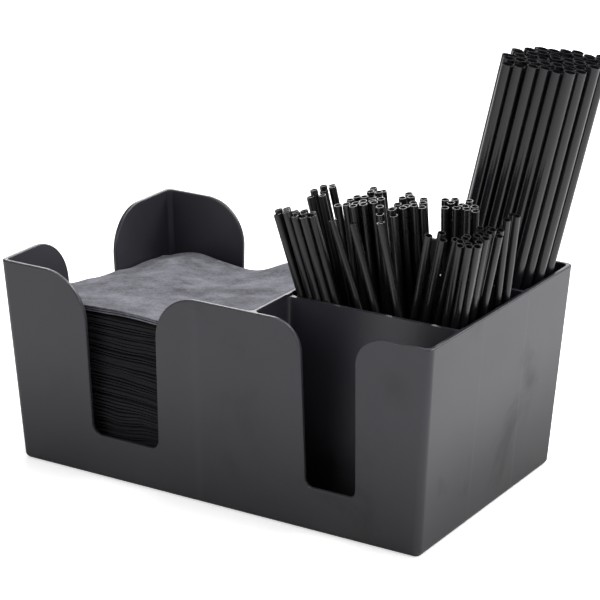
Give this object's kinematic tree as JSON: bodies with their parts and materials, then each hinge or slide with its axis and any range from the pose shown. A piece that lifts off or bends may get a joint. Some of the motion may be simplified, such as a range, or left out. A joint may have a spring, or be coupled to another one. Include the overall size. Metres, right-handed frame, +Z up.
{
  "type": "bar caddy",
  "caption": "Moulded counter caddy with a napkin well, a coaster cell and two straw cells, filled with folded napkins, sip stirrers and drinking straws.",
  "frame": {"origin": "centre of the tray's underside", "axes": "+Z up, +X to the right along the long front, -Y towards the front with the coaster slot"},
  "size_m": [0.2599, 0.1482, 0.212],
  "materials": {
    "tray_plastic": "satin black moulding",
    "napkin_paper": "black tissue",
    "stirrer_plastic": "glossy black",
    "straw_plastic": "glossy black"
  },
  "bodies": {
    "tray": {"tray": "tray_plastic"},
    "napkins": {"napkin_stack": "napkin_paper"},
    "top_napkins": {"top_napkins": "napkin_paper"},
    "stirrers": {"stirrers_left": "stirrer_plastic", "stirrers_back_left": "stirrer_plastic", "stirrers_mid_left": "stirrer_plastic", "stirrers_middle": "stirrer_plastic", "stirrers_mid_right": "stirrer_plastic", "stirrers_front_right": "stirrer_plastic", "stirrers_front": "stirrer_plastic", "stirrers_loose": "stirrer_plastic", "stirrers_right": "stirrer_plastic"},
    "straws": {"bar_straws": "straw_plastic"}
  },
  "joints": [
    {"name": "napkins_lift", "type": "slide", "parent": "tray", "child": "napkins", "axis": [0, 0, 1], "range_m": [0, 0.11]},
    {"name": "top_napkins_lift", "type": "slide", "parent": "napkins", "child": "top_napkins", "axis": [0, 0, 1], "range_m": [0, 0.11]},
    {"name": "stirrers_lift", "type": "slide", "parent": "tray", "child": "stirrers", "axis": [0, 0, 1], "range_m": [0, 0.11]},
    {"name": "straws_lift", "type": "slide", "parent": "tray", "child": "straws", "axis": [0, 0, 1], "range_m": [0, 0.11]}
  ]
}
